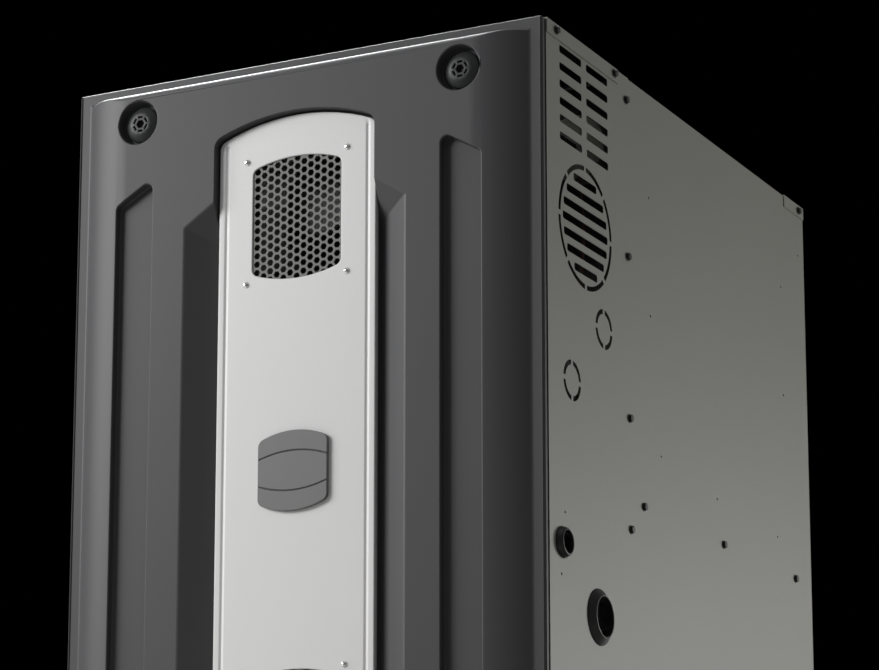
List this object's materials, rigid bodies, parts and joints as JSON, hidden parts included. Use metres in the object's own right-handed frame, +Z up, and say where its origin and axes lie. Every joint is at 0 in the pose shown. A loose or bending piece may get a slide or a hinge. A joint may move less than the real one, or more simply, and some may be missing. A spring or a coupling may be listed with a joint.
{
  "type": "forced air gas furnace",
  "caption": "Upflow forced air gas furnace with a lift-off moulded door, quarter-turn latches, blower, burners and draft inducer in a painted steel cabinet.",
  "frame": {"origin": "on the floor under the middle of the whole unit", "axes": "+X to the right seen from the front, +Y from the door to the back, +Z up"},
  "size_m": [0.5474, 0.7298, 0.8636],
  "materials": {
    "cabinet_paint": "semi-gloss olive grey enamel on steel",
    "galvanised_steel": "spangled zinc coated sheet",
    "aluminised_steel": "heat dulled aluminised tube",
    "door_plastic": "fine grained moulded charcoal plastic",
    "strip_silver": "satin silver paint",
    "grille_steel": "grey painted perforated steel",
    "badge_plastic": "satin moulded plastic",
    "knob_plastic": "moulded nylon",
    "chrome": "bright plated",
    "zinc_screw": "painted screw heads",
    "black_rubber": "moulded rubber",
    "burner_steel": "aluminised pressed steel",
    "black_pipe": "black iron pipe",
    "cast_valve": "die cast",
    "black_plastic": "moulded thermoset",
    "red_plastic": "moulded button",
    "ceramic": "unglazed steatite",
    "motor_paint": "black enamel",
    "white_plastic": "moulded nylon",
    "circuit_board": "solder mask"
  },
  "bodies": {
    "cabinet": {"left_side_panel": "cabinet_paint", "right_side_panel": "cabinet_paint", "back_panel": "cabinet_paint", "base_pan": "galvanised_steel", "top_cover": "cabinet_paint", "rear_top_rail": "cabinet_paint", "blower_deck": "galvanised_steel", "vestibule_panel": "galvanised_steel", "blower_door": "galvanised_steel", "latch_receptacles": "galvanised_steel", "gas_grommets": "black_rubber", "wire_grommets": "black_rubber", "cabinet_screws": "zinc_screw", "heat_cell_1": "aluminised_steel", "heat_cell_2": "aluminised_steel", "heat_cell_3": "aluminised_steel", "heat_cell_4": "aluminised_steel", "collector_box": "galvanised_steel", "burners": "burner_steel", "burner_rack": "galvanised_steel", "gas_manifold": "black_pipe", "gas_valve": "cast_valve", "igniter": "ceramic", "flame_sensor": "ceramic", "rollout_switches": "black_plastic", "inducer_housing": "motor_paint", "inducer_motor": "motor_paint", "flue_collar": "galvanised_steel", "pressure_switch": "white_plastic", "pressure_hose": "black_rubber", "blower_housing": "galvanised_steel", "blower_motor": "motor_paint", "motor_arms": "galvanised_steel", "control_tray": "galvanised_steel", "control_board": "circuit_board", "transformer": "motor_paint", "door_switch": "black_plastic", "limit_switch": "black_plastic"},
    "door": {"door_shell": "door_plastic", "door_backer": "galvanised_steel", "door_gasket": "black_rubber", "door_hooks": "galvanised_steel", "centre_strip": "strip_silver", "upper_grille": "grille_steel", "lower_grille": "grille_steel", "badge": "badge_plastic", "strip_screws": "chrome"},
    "left_latch": {"left_knob": "knob_plastic", "left_latch_stud": "galvanised_steel"},
    "right_latch": {"right_knob": "knob_plastic", "right_latch_stud": "galvanised_steel"},
    "blower_rotor": {"blower_wheel": "galvanised_steel", "blower_shaft": "galvanised_steel"},
    "inducer_rotor": {"inducer_wheel": "galvanised_steel"},
    "gas_cock": {"gas_valve_knob": "black_plastic"},
    "left_reset": {"left_reset_button": "red_plastic"},
    "right_reset": {"right_reset_button": "red_plastic"},
    "door_plunger": {"door_switch_plunger": "white_plastic"}
  },
  "joints": [
    {"name": "door_lift_off", "type": "slide", "parent": "cabinet", "child": "door", "axis": [0, -1, 0], "range_m": [0, 0.45]},
    {"name": "left_latch_turn", "type": "hinge", "parent": "door", "child": "left_latch", "pos_m": [-0.184, -0.3529, 0.8166], "axis": [0, -1, 0], "range_deg": [0, 90]},
    {"name": "right_latch_turn", "type": "hinge", "parent": "door", "child": "right_latch", "pos_m": [0.184, -0.3529, 0.8166], "axis": [0, -1, 0], "range_deg": [0, 90]},
    {"name": "blower_spin", "type": "hinge", "parent": "cabinet", "child": "blower_rotor", "pos_m": [0, 0.0879, 0.219], "axis": [1, 0, 0], "continuous": true},
    {"name": "inducer_spin", "type": "hinge", "parent": "cabinet", "child": "inducer_rotor", "pos_m": [0, -0.2261, 0.725], "axis": [0, 1, 0], "continuous": true},
    {"name": "gas_cock_turn", "type": "hinge", "parent": "cabinet", "child": "gas_cock", "pos_m": [-0.223, -0.3016, 0.512], "axis": [0, -1, 0], "range_deg": [0, 90]},
    {"name": "left_reset_press", "type": "slide", "parent": "cabinet", "child": "left_reset", "axis": [0, 1, 0], "range_m": [0, 0.002], "stiffness_N_per_m": 400, "springref_m": -0.002},
    {"name": "right_reset_press", "type": "slide", "parent": "cabinet", "child": "right_reset", "axis": [0, 1, 0], "range_m": [0, 0.002], "stiffness_N_per_m": 400, "springref_m": -0.002},
    {"name": "door_plunger_press", "type": "slide", "parent": "cabinet", "child": "door_plunger", "axis": [0, 1, 0], "range_m": [0, 0.005], "stiffness_N_per_m": 200, "springref_m": -0.004}
  ]
}
